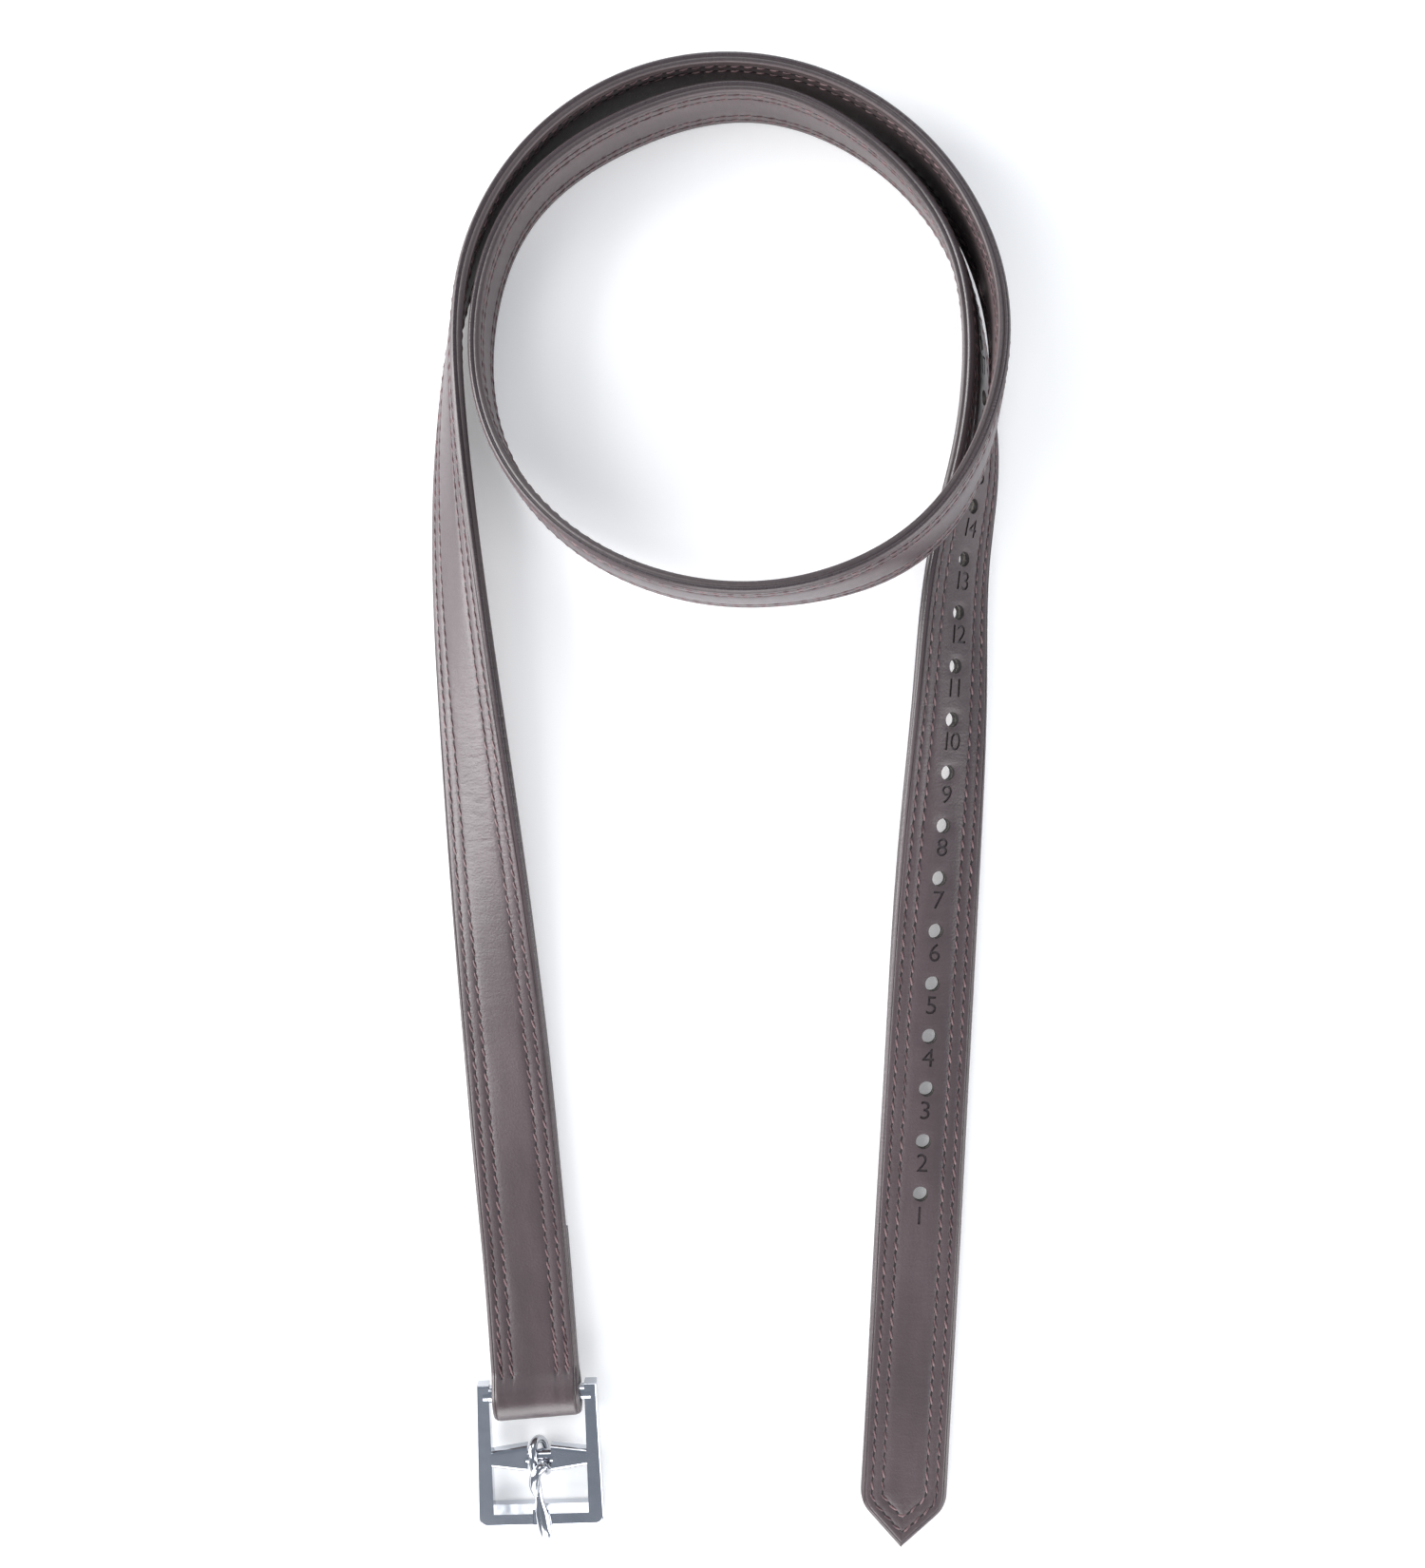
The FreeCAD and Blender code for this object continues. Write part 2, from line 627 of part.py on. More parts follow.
def make_tongue():
    """The forged tongue: an eye round the centre bar, its tail curled over, and the prong."""
    body = DOC.addObject("PartDesign::Body", "buckle_tongue")
    body.Label = "buckle_tongue"
    prong = outline(body, "prong_outline", "YZ_Plane", [
        ("0 - centre_bar_drop - journal_diameter", "0 - tongue_thickness"),
        ("0 - centre_bar_drop - 3 * eye_wall", "0 - tongue_thickness / 4"),
        (WINDOW_FLOOR + " + 1", SEAT),
        (TONGUE_END, SEAT + " - 0.2"),
        (TONGUE_END + " - 0.5", SEAT + " + tongue_thickness / 2"),
        (TONGUE_END + " + 3", SEAT + " + tongue_thickness"),
        (WINDOW_FLOOR + " + 1", SEAT + " + tongue_thickness"),
        ("0 - centre_bar_drop - 1", "%s - 0.6" % EYE_RADIUS),
    ])
    swept(body, "Pad", "prong", prong, "tongue_width")

    def long_edge(edge):
        x_low, x_high, y_low, y_high, _, _ = edge_box(edge)
        return x_high - x_low < 0.01 and y_high - y_low > 2

    rounded(body, "prong_rounding", "Fillet", long_edge, "Radius", "tongue_thickness / 4")
    eye = disc(body, "eye_circle", "0 - centre_bar_drop", "0", "2 * " + EYE_RADIUS)
    swept(body, "Pad", "eye", eye, "eye_width")
    tail = outline(body, "tail_outline", "YZ_Plane", [
        ("0 - centre_bar_drop", "%s - eye_wall" % EYE_RADIUS),
        ("0 - centre_bar_drop - tail_length", SEAT + " + tongue_thickness / 2"),
        ("0 - centre_bar_drop - tail_length", SEAT + " + tongue_thickness + 0.7"),
        ("0 - centre_bar_drop - tail_length / 2", "%s + 0.9" % EYE_RADIUS),
        ("0 - centre_bar_drop", "%s" % EYE_RADIUS),
    ])
    swept(body, "Pad", "tail", tail, "tail_width")
    bore = disc(body, "bore_circle", "0 - centre_bar_drop", "0", "journal_diameter + 2 * pin_running_gap")
    swept(body, "Pocket", "eye_bore", bore, "2 * eye_width")
    return body


def buckle_placement():
    """Where the bar's middle sits, how far the buckle is turned, and how it tips to the ground."""
    travel, _ = plan_direction(0.0)
    turn = math.degrees(math.atan2(-travel.x, travel.y)) - size("buckle_skew")
    half = size("frame_thickness") / 2
    reach = math.hypot(size("frame_drop"), half)
    tip_down = math.degrees(math.asin(BAR_HEIGHT / reach) - math.atan2(half, size("frame_drop")))
    rotation = Rotation(Vector(0, 0, 1), turn).multiply(Rotation(Vector(1, 0, 0), tip_down))
    return Placement(Vector(PLAN_X(0.0), PLAN_Y(0.0), BAR_HEIGHT), rotation)


# ---------------------------------------------------------------- assembly
def check(pieces):
    """Stop if any object failed or any sub-part's shape isn't sound."""
    for item in DOC.Objects:
        if "Invalid" in item.State or "Error" in item.State:
            raise ValueError("%s is %s" % (item.Label, item.State))
    for piece in pieces:
        if piece.Shape.isNull() or not piece.Shape.isValid() or piece.Shape.Volume <= 0:
            raise ValueError("%s has no sound shape" % piece.Label)


def main():
    strap = make_strap() + make_threads()
    buckle = [make_buckle_frame(), make_tongue()]
    for body in buckle:
        body.Placement = buckle_placement()
    DOC.recompute()
    pieces = strap + buckle
    whole = FreeCAD.BoundBox()
    for piece in pieces:
        whole.add(piece.Shape.optimalBoundingBox(False))
    shift = Vector(-whole.Center.x, -whole.Center.y, 0)
    for piece in pieces:
        moved = piece.Placement
        moved.Base = moved.Base + shift
        piece.Placement = moved
    DOC.recompute()
    check(pieces)
    os.makedirs("parts", exist_ok=True)
    for piece in pieces:
        piece.Shape.exportStep("parts/%s.step" % piece.Label)
        print("%-22s %10.1f mm3" % (piece.Label, piece.Shape.Volume))
    place = buckle[0].Placement
    back = place.multVec(Vector(-HALF_WIDTH - size("window_side_gap") - size("side_bar_top") / 2,
                                -size("centre_bar_drop"), -size("frame_thickness") / 2))
    print("back face", back, place.Rotation.multVec(Vector(0, 0, -1)))
    pivot = place.multVec(Vector(0, -size("centre_bar_drop"), 0))
    print("shift %.3f %.3f" % (shift.x, shift.y))
    print("bar middle", place.Base, "tongue pivot", pivot, "axis", place.Rotation.multVec(Vector(1, 0, 0)))
    print("strap length %.0f mm, box %s" % (TIP - TURNBACK_END, whole))


main()
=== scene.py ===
# %% [markdown]
# # A stirrup leather, coiled on its edge
#
# The real thing is one long strap: two leathers glued over a webbing core, sewn with four rows of
# stitches, folded round the bar of a cast steel buckle and cut to a point at the other end.
# The plan here is a saddler's plan. Everything on the strap is made flat on the bench first, where
# it is easy to shape, punch, stamp and stitch, and only then laid along the route that the coiled
# strap takes. The frame from the CAD model says where the buckle bar is and how the parts move.

import json
import math

import bpy
import numpy as np
from mathutils import Matrix, Vector


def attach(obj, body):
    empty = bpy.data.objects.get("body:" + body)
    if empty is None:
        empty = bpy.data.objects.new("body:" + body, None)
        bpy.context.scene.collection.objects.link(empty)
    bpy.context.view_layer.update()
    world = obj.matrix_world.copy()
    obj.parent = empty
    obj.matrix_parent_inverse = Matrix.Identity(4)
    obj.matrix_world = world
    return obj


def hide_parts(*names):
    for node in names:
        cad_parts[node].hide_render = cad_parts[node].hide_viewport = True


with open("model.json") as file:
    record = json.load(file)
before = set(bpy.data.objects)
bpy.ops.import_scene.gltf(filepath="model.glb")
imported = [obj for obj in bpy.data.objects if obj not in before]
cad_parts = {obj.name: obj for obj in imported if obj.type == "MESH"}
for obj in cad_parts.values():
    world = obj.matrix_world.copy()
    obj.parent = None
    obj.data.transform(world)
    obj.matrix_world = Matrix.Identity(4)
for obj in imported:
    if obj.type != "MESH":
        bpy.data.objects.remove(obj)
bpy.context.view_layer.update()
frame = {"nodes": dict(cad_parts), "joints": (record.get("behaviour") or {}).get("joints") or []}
MM = 0.001
joints = {joint["name"]: joint for joint in frame["joints"]}
bar_middle = np.array(joints["buckle_swing"]["pos_m"]) / MM
print("bar middle, mm:", bar_middle.round(2))


# %% [markdown]
# ## The route
#
# The strap's middle line passes through a few listed stations. Each says where the strap is
# in plan, how far it stands on its edge, and how high it is lifted where it crosses its own end.
# A natural cubic runs through them, because a strap bends evenly and has straight free ends.
# The buckle end is a turn-back: a line under the strap, half a circle round the bar, and the strap
# itself sinking to the ground. A NURBS curve with a Curve modifier could carry the strap too, but
# its tilt isn't exact enough to keep two coils of leather apart.

# %% Sizes of the strap, in millimetres
STRAP_WIDTH = 25.0
THICKNESS = 3.5
THREAD_STAND = 0.30
BAR_RADIUS = 2.5
BAR_CLEARANCE = 0.9
LAYER_GAP = 0.1
TURNBACK = 46.0
PINCH = 7.5
RUN_OFF = 60.0
HALF_WIDTH = STRAP_WIDTH / 2
HALF_THICK = THICKNESS / 2
FOLD_RADIUS = BAR_RADIUS + BAR_CLEARANCE + HALF_THICK
FOLD_LENGTH = math.pi * FOLD_RADIUS
BAR_HEIGHT = FOLD_RADIUS + HALF_THICK

# x, y, degrees of standing on edge, lift in strap widths
STATIONS = np.array([
    (-50.8, -176.5, 0, 0), (-54.0, -140.0, 0, 0), (-57.5, -104.5, 3, 0), (-63.0, -48.5, 17, 0),
    (-68.5, 7.0, 36, 0), (-73.5, 61.5, 52, 0), (-75.0, 109.0, 71, 0), (-70.5, 146.0, 86, 0),
    (-51.5, 179.5, 91, 0), (-17.5, 200.5, 91, 0), (23.5, 201.0, 91, 0), (58.0, 181.0, 92, 0.04),
    (78.5, 144.0, 91, 0.24), (78.5, 106.0, 83, 0.6), (57.5, 67.5, 75, 0.84), (24.5, 53.5, 84, 0.76),
    (-8.0, 54.5, 87, 0.6), (-40.5, 70.0, 89, 0.36), (-62.0, 99.0, 91, 0.1), (-65.5, 135.5, 93, 0),
    (-54.5, 164.5, 92, 0), (-24.5, 187.5, 91, 0), (12.5, 195.5, 89, 0), (45.5, 181.5, 82, 0),
    (68.5, 154.0, 78, 0), (76.0, 117.0, 68, 0), (75.5, 92.0, 54, 0), (71.5, 67.0, 43, 0),
    (69.0, 29.0, 29, 0), (66.0, -21.0, 13, 0), (63.0, -76.5, 3, 0), (60.0, -132.0, 0, 0),
    (57.0, -188.0, 0, 0), (55.0, -223.0, 0, 0),
])
route_shift = bar_middle[:2] - STATIONS[0, :2]


# %% The curve through the stations
def natural_spline(knots, values):
    """A cubic through the values, straight at both ends, that reads whole arrays at once."""
    gap = np.diff(knots)
    count = len(knots)
    system, load = np.eye(count), np.zeros(count)
    for i in range(1, count - 1):
        system[i, i - 1:i + 2] = gap[i - 1], 2 * (gap[i - 1] + gap[i]), gap[i]
        load[i] = 6 * ((values[i + 1] - values[i]) / gap[i] - (values[i] - values[i - 1]) / gap[i - 1])
    bend = np.linalg.solve(system, load)

    def at(along):
        i = np.clip(np.searchsorted(knots, along) - 1, 0, count - 2)
        near = (knots[i + 1] - along) / gap[i]
        far = 1 - near
        curve = (near ** 3 - near) * bend[i] + (far ** 3 - far) * bend[i + 1]
        return near * values[i] + far * values[i + 1] + curve * gap[i] ** 2 / 6

    return at


legs = np.hypot(*np.diff(STATIONS[:, :2], axis=0).T)
KNOTS = np.concatenate([[0.0], np.cumsum(legs)])
PLAN_X, PLAN_Y, STAND, LIFT = [natural_spline(KNOTS, column) for column in STATIONS.T]
TIP = KNOTS[-1]
TURNBACK_END = -FOLD_LENGTH - TURNBACK
print("strap length, mm:", round(TIP - TURNBACK_END))


# %% [markdown]
# A point on the strap is named by three numbers: how far along it is, how far across from the
# middle, and how far out towards the grain side. `on_strap` turns them into a place in the room.

# %% From the flat strap to the room
def smooth_step(ratio):
    ratio = np.clip(ratio, 0, 1)
    return ratio * ratio * (3 - 2 * ratio)


def plan_direction(along):
    """Unit direction of travel in plan."""
    low, high = np.maximum(along - 0.5, 0), np.minimum(along + 0.5, TIP)
    travel = np.stack([PLAN_X(high) - PLAN_X(low), PLAN_Y(high) - PLAN_Y(low)], -1)
    return travel / np.linalg.norm(travel, axis=-1, keepdims=True)


def pair_height(from_bar):
    """Height of the middle between the strap and its turn-back."""
    resting = THREAD_STAND + THICKNESS + LAYER_GAP / 2
    return resting + (BAR_HEIGHT - resting) * (1 - smooth_step(from_bar / TURNBACK))


def pair_spread(from_bar):
    """Half the distance between the middles of the strap and its turn-back."""
    closed = HALF_THICK + LAYER_GAP / 2
    return closed + (FOLD_RADIUS - closed) * (1 - smooth_step(from_bar / PINCH))


def strap_height(along):
    """Height of the strap's middle ahead of the bar."""
    stand = np.radians(np.maximum(STAND(along), 0))
    raised = HALF_WIDTH * np.sin(stand)
    height = np.maximum(LIFT(along), 0) * STRAP_WIDTH + (HALF_THICK + THREAD_STAND) * np.abs(np.cos(stand))
    height = height + (THICKNESS + LAYER_GAP) * (1 - smooth_step((along - TURNBACK) / RUN_OFF))
    return raised + np.where(along <= TURNBACK, pair_height(along) + pair_spread(along), height)


def strap_middle(along):
    ahead, behind = np.maximum(along, 0), np.maximum(-FOLD_LENGTH - along, 0)
    plan = np.where(along >= 0, ahead, behind)
    height = np.where(along >= 0, strap_height(ahead), pair_height(behind) - pair_spread(behind))
    folding = (along < 0) & (along > -FOLD_LENGTH)
    angle = -along / FOLD_RADIUS
    height = np.where(folding, BAR_HEIGHT + FOLD_RADIUS * np.cos(angle), height)
    swing = np.where(folding, FOLD_RADIUS * np.sin(angle), 0)
    start = plan_direction(np.zeros(1))[0]
    return np.stack([PLAN_X(plan) - swing * start[0], PLAN_Y(plan) - swing * start[1], height], -1)


def on_strap(along, across, face):
    """Places in the room, in millimetres, of points on the strap."""
    along = np.clip(along, TURNBACK_END, TIP)
    step = 0.05
    ahead, behind = np.minimum(along + step, TIP), np.maximum(along - step, TURNBACK_END)
    travel = strap_middle(ahead) - strap_middle(behind)
    travel /= np.linalg.norm(travel, axis=-1, keepdims=True)
    plan = plan_direction(np.where(along >= 0, along, np.maximum(-FOLD_LENGTH - along, 0)))
    stand = np.where(along > 0, np.radians(np.maximum(STAND(np.maximum(along, 0)), 0)), 0)
    width = np.stack([plan[:, 1] * np.cos(stand), -plan[:, 0] * np.cos(stand), np.sin(stand)], -1)
    width -= travel * np.sum(width * travel, -1, keepdims=True)
    width /= np.linalg.norm(width, axis=-1, keepdims=True)
    outward = np.cross(width, travel)
    place = strap_middle(along) + width * across[:, None] + outward * face[:, None]
    place[:, :2] += route_shift
    return place


# %% [markdown]
# ## The bench
#
# Flat pieces lie with X along the strap, Y to the left of travel and Z out of the grain side, all
# in metres. `lay_on_route` keeps each point's flat place as a UV map named strap, so that grain,
# needle holes and creases can follow the leather, and then moves the point to its place in the room.

# %% Bench helpers
def deselect():
    if bpy.context.object and bpy.context.object.mode != "OBJECT":
        bpy.ops.object.mode_set(mode="OBJECT")
    bpy.ops.object.select_all(action="DESELECT")


def pick(*pieces):
    """Select these objects only, the last one active."""
    deselect()
    for piece in pieces:
        piece.select_set(True)
    bpy.context.view_layer.objects.active = pieces[-1]


def points_of(piece):
    place = np.empty(len(piece.data.vertices) * 3)
    piece.data.vertices.foreach_get("co", place)
    return place.reshape(-1, 3)


def set_points(piece, place):
    piece.data.vertices.foreach_set("co", np.asarray(place, float).ravel())
    piece.data.update()


def edit(piece, *steps):
    """Run edit-mode operators on the whole of a piece. Each step is a function."""
    pick(piece)
    bpy.ops.object.mode_set(mode="EDIT")
    bpy.ops.mesh.select_all(action="SELECT")
    for step in steps:
        step()
    bpy.ops.object.mode_set(mode="OBJECT")


def merge(distance=0.00001):
    bpy.ops.mesh.remove_doubles(threshold=distance)


def outward():
    bpy.ops.mesh.normals_make_consistent(inside=False)


def apply_all(piece):
    pick(piece)
    for modifier in list(piece.modifiers):
        bpy.ops.object.modifier_apply(modifier=modifier.name)


def join(pieces, name):
    """One object from several."""
    pick(*pieces)
    if len(pieces) > 1:
        bpy.ops.object.join()
    made = bpy.context.object
    made.name = name
    return made


def cut_with(piece, tool):
    """Take the tool's solid out of the piece."""
    modifier = piece.modifiers.new("cut", "BOOLEAN")
    modifier.operation, modifier.object, modifier.solver = "DIFFERENCE", tool, "EXACT"
    modifier.material_mode = "TRANSFER"
    apply_all(piece)
    bpy.data.objects.remove(tool)


def lay_on_route(piece):
    """From the bench to the room."""
    flat = points_of(piece) / MM
    layer = piece.data.uv_layers.new(name="strap")
    corner = np.empty(len(piece.data.loops), dtype=int)
    piece.data.loops.foreach_get("vertex_index", corner)
    layer.data.foreach_set("uv", (flat[corner][:, :2] * MM).ravel())
    set_points(piece, on_strap(flat[:, 0], -flat[:, 1], flat[:, 2]) * MM)
    pick(piece)
    bpy.ops.object.shade_smooth_by_angle(angle=math.radians(40))


# %% [markdown]
# ## Finishes
#
# Shader sums are easier to read as sums, so `Signal` wraps a socket and lets it be added and
# multiplied. Every texture is procedural. Strap finishes read the flat place kept in the strap UV
# map, so grain and creases run with the leather round every bend, and steel reads object space.

# %% Shader helpers
class Signal:
    """One value in a shader, which can be used in sums."""

    def __init__(self, tree, socket):
        self.tree, self.socket = tree, socket

    def node(self, kind, settings=None, output=0, **inputs):
        """Add a node; inputs are constants or other signals, named as on the node."""
        made = self.tree.nodes.new(kind)
        for key, value in (settings or {}).items():
            setattr(made, key, value)
        for key, value in inputs.items():
            numbered = key[0] == "i" and key[1:].isdigit()
            target = made.inputs[int(key[1:]) if numbered else key.replace("_", " ")]
            if isinstance(value, Signal):
                self.tree.links.new(value.socket, target)
            else:
                target.default_value = value
        return Signal(self.tree, made.outputs[output])

    def math(self, operation, *values):
        inputs = {"i%d" % i: value for i, value in enumerate(values)}
        return self.node("ShaderNodeMath", {"operation": operation}, **inputs)

    def __add__(self, other):
        return self.math("ADD", self, other)

    def __radd__(self, other):
        return self.math("ADD", other, self)

    def __sub__(self, other):
        return self.math("SUBTRACT", self, other)

    def __mul__(self, other):
        return self.math("MULTIPLY", self, other)

    def band(self, low, high):
        """0 below low, 1 above high and smooth between; low may be the larger."""
        settings = {"interpolation_type": "SMOOTHSTEP"}
        return self.node("ShaderNodeMapRange", settings, Value=self, From_Min=low, From_Max=high)

    def mix(self, first, second):
        """Colour between two, by this signal."""
        return self.node("ShaderNodeMix", {"data_type": "RGBA"}, output=2, Factor=self, i6=first, i7=second)

    def stretched(self, *scale):
        return self.node("ShaderNodeVectorMath", {"operation": "MULTIPLY"}, i0=self, i1=scale)

    def noise(self, scale, detail=3.0, roughness=0.55):
        return self.node(
            "ShaderNodeTexNoise", None, Vector=self, Scale=scale, Detail=detail, Roughness=roughness)

    def part(self, name):
        """One of x, y and z of a vector."""
        return self.node("ShaderNodeSeparateXYZ", output="xyz".index(name), Vector=self)


def finish_named(name):
    """A new material: its surface shader and a signal to start from."""
    material = bpy.data.materials.new(name)
    material.use_nodes = True
    tree = material.node_tree
    return material, tree.nodes["Principled BSDF"], Signal(tree, None)


def connect(shader, **inputs):
    """Set a surface's sockets from constants and signals."""
    for key, value in inputs.items():
        target = shader.inputs[key.replace("_", " ")]
        if isinstance(value, Signal):
            value.tree.links.new(value.socket, target)
        else:
            target.default_value = value


def strap_place(start):
    """The flat place on the strap, in metres."""
    return start.node("ShaderNodeUVMap", {"uv_map": "strap"})


# %% [markdown]
# Bridle leather: a drum-dyed brown with a waxed surface. Pores and fine wrinkles are bump, the colour
# shifts slowly along the hide, the stitch grooves and the crease line inside each edge are darkened as
# painted shade, and the cut edges carry a darker edge paint.

# %% Leather
def leather(name, colour, deep, roughness, wrinkle):
    material, shader, start = finish_named(name)
    place = strap_place(start)
    across = place.part("y").math("ABSOLUTE", place.part("y"))
    edge = across.band(0.01215, 0.01248)
    outer = (across - 0.00945).math("ABSOLUTE", across - 0.00945).band(0.0011, 0.0003)
    inner = (across - 0.00635).math("ABSOLUTE", across - 0.00635).band(0.0011, 0.0003)
    cloud = place.stretched(18, 60, 0).noise(1.0, 4.0, 0.6)
    pores = place.noise(1500.0, 2.0, 0.5)
    creases = place.stretched(420, 130, 0).noise(1.0, 5.0, 0.62)
    bent = (place.part("x") - 0.190).math("ABSOLUTE", place.part("x") - 0.190).band(0.05, 0.0)
    worn = cloud.band(0.3, 0.75)
    groove = outer.math("MAXIMUM", outer, inner)
    tone = worn.mix(deep, colour)
    # Painted shade: the leather is darker along the two stitch grooves.
    tone = (groove * 0.45).mix(tone, deep)
    # Painted shade: a near-black line in the small groove inside each edge.
    crease_shade_line = (across - 0.01146).math("ABSOLUTE", across - 0.01146).band(0.0003, 0.0)
    tone = crease_shade_line.mix(tone, (0.02, 0.014, 0.015, 1))
    tone = (edge * 0.75).mix(tone, (0.030, 0.024, 0.026, 1))
    tone = (pores.band(0.35, 0.62) * 0.25).mix(tone, deep)
    height = pores * 0.5 + creases * (bent * 1.6 + wrinkle)
    bump = start.node("ShaderNodeBump", None, Strength=0.7, Distance=0.00022, Height=height)
    rough = roughness + creases * 0.12 - edge * 0.12
    connect(shader, Base_Color=tone, Roughness=rough, Normal=bump, Coat_Weight=0.10, Coat_Roughness=0.38)
    shader.inputs["Specular IOR Level"].default_value = 0.5
    return material


grain_finish = leather("grain_leather", (0.084, 0.061, 0.065, 1), (0.053, 0.038, 0.041, 1), 0.33, 0.8)
# A darker copy of the leather for the recesses of the stamped numbers: painted shade.
stamp_shade_finish = leather("stamp_shade_leather", (0.050, 0.035, 0.038, 1), (0.030, 0.021, 0.023, 1), 0.38, 0.4)
# A near-black copy of the leather for the walls of the punched holes: painted shade.
hole_wall_shade_finish = leather("hole_wall_shade_leather", (0.026, 0.018, 0.018, 1), (0.014, 0.010, 0.010, 1), 0.60, 0.6)
flesh_finish = leather("backing_leather", (0.125, 0.098, 0.098, 1), (0.080, 0.060, 0.062, 1), 0.42, 1.2)


# %% [markdown]
# Waxed linen thread, slightly pinker than the leather, with the lay of its plies as bump. Each needle
# hole gets a nearly black patch, the same for every stitch: painted shade where the thread dives in.

# %% Thread, painted shade of the awl holes, and webbing
thread_finish, shader, start = finish_named("thread")
plies = strap_place(start).stretched(2600, 900, 0).noise(1.0, 2.0, 0.5)
hairs = strap_place(start).noise(260.0, 2.0, 0.5)
connect(shader, Base_Color=hairs.band(0.3, 0.7).mix((0.060, 0.030, 0.034, 1), (0.185, 0.112, 0.118, 1)),
        Roughness=0.5, Normal=start.node("ShaderNodeBump", None, Strength=0.4, Distance=0.0001, Height=plies))

awl_shade_finish, shader, start = finish_named("awl_hole_shade")
connect(shader, Base_Color=(0.010, 0.006, 0.007, 1), Roughness=0.8)

webbing_finish, shader, start = finish_named("webbing")
place = start.node("ShaderNodeTexCoord", output=3)
weave = place.stretched(900, 900, 900)
woven = start.node("ShaderNodeTexChecker", None, output=1, Vector=weave, Scale=1.0)
connect(shader, Base_Color=woven.mix((0.11, 0.10, 0.09, 1), (0.20, 0.185, 0.165, 1)), Roughness=0.85,
        Normal=start.node("ShaderNodeBump", None, Strength=0.6, Distance=0.0002, Height=woven))


# %% [markdown]
# Stainless steel, cast and then polished by hand on a wheel: bright, with a faint orange peel that
# wobbles its reflections and a few soft smears.

# %% Steel
def polished_steel(name, colour, roughness, wobble):
    material, shader, start = finish_named(name)
    place = start.node("ShaderNodeTexCoord", output=3)
    peel = place.noise(110.0, 2.0, 0.5)
    smear = place.stretched(1, 3, 1).noise(70.0, 4.0, 0.6)
    bump = start.node("ShaderNodeBump", None, Strength=wobble, Distance=0.0006, Height=peel)
    connect(shader, Base_Color=smear.band(0.3, 0.8).mix(colour, tuple(0.9 * c for c in colour[:3]) + (1,)),
            Metallic=1.0, Roughness=roughness + smear * 0.08, Normal=bump)
    return material


frame_steel = polished_steel("polished_steel", (0.57, 0.59, 0.63, 1), 0.10, 0.22)
tongue_finish = polished_steel("tongue_steel", (0.57, 0.58, 0.61, 1), 0.10, 0.25)


def finish_with(piece, *finishes):
    piece.data.materials.clear()
    for finish in finishes:
        piece.data.materials.append(finish)


# %% [markdown]
# ## The outline of the point
#
# The strap ends in a point with rounded shoulders. Stitch rows and the rolled edge follow the same
# outline at their own distance inside it, so one function gives the half width at any inset.

# %% Outline and its insets
TIP_LENGTH = 12.5
SHOULDER = 9.0
tip_slope = math.atan2(HALF_WIDTH, TIP_LENGTH)
shoulder_along = TIP - TIP_LENGTH - SHOULDER * math.tan(tip_slope / 2)
shoulder_across = HALF_WIDTH - SHOULDER


def half_outline(along, inset):
    """Half the strap's width at this distance inside its edge."""
    radius = SHOULDER - inset
    arc_end = shoulder_along + radius * math.sin(tip_slope)
    apex = TIP - inset / math.sin(tip_slope)
    past = np.clip(along - shoulder_along, 0, np.maximum(radius, 0.01) * math.sin(tip_slope))
    arc = shoulder_across + np.sqrt(np.maximum(radius, 0.01) ** 2 - past ** 2)
    arc = np.where(radius > 0.01, arc, HALF_WIDTH - inset)
    line = np.maximum(apex - along, 0) * HALF_WIDTH / TIP_LENGTH
    return np.maximum(np.where(along > arc_end, np.minimum(line, arc), arc), 0)


# %% [markdown]
# ## Leather skins
#
# Each leather is a long tube whose section is drawn once: the rolled and burnished edge, a pressed
# groove under each stitch row, and the panel between the rows, which stands up because the core is
# padded there. A grid primitive gives the points, one column for each point of the section and one
# row for each place along the strap. Solidify and Bevel could round a plain slab, but they can't
# give the grooves.

# %% Sections: distance in from the edge, distance out from the strap's middle plane
GRAIN_FACE = [
    (0.22, 0.03), (0.06, 0.30), (0.0, 0.65), (0.02, 0.92), (0.10, 1.10), (0.40, 1.34), (0.68, 1.53),
    (0.86, 1.62), (1.05, 1.50), (1.22, 1.68), (1.6, 1.77),
    (2.3, 1.74), (2.75, 1.62), (3.05, 1.52), (3.35, 1.62), (3.8, 1.75), (4.6, 1.80), (5.4, 1.75),
    (5.85, 1.62), (6.15, 1.52), (6.45, 1.63), (6.95, 1.80), (8.0, 1.91), (9.4, 1.97), (11.0, 2.0),
    (12.5, 2.01),
]
FLESH_FACE = [
    (0.22, 0.03), (0.05, 0.30), (0.0, 0.70), (0.03, 1.05), (0.15, 1.35), (0.40, 1.58), (0.85, 1.68),
    (1.5, 1.72), (2.5, 1.68), (3.05, 1.58), (3.6, 1.68), (4.6, 1.74), (5.6, 1.68), (6.15, 1.58),
    (6.7, 1.68), (8.0, 1.74),
    (10.0, 1.75), (12.5, 1.75),
]
INNER_FACE = [(12.5, 0.50), (4.0, 0.50), (0.95, 0.50), (0.75, 0.03)]
HOLE_PITCH = 15.4
FIRST_HOLE = 103.5
HOLE_COUNT = 18
HOLE_RADIUS = 2.2
hole_places = TIP - FIRST_HOLE - HOLE_PITCH * np.arange(HOLE_COUNT)


def places_along():
    """Rows of the grid: close round the bar, over the holes and at the point."""
    steps = [
        (TURNBACK_END, -FOLD_LENGTH - 10, 2.0), (-FOLD_LENGTH - 10, 10, 0.7), (10, hole_places[-1] - 8, 2.0),
        (hole_places[-1] - 8, hole_places[0] + 12, 0.8), (hole_places[0] + 12, shoulder_along - 2, 2.0),
        (shoulder_along - 2, TIP - 0.05, 0.4),
    ]
    rows = [np.linspace(low, high, max(int((high - low) / step), 2), endpoint=False)
            for low, high, step in steps]
    return np.concatenate(rows + [[TIP - 0.05]])


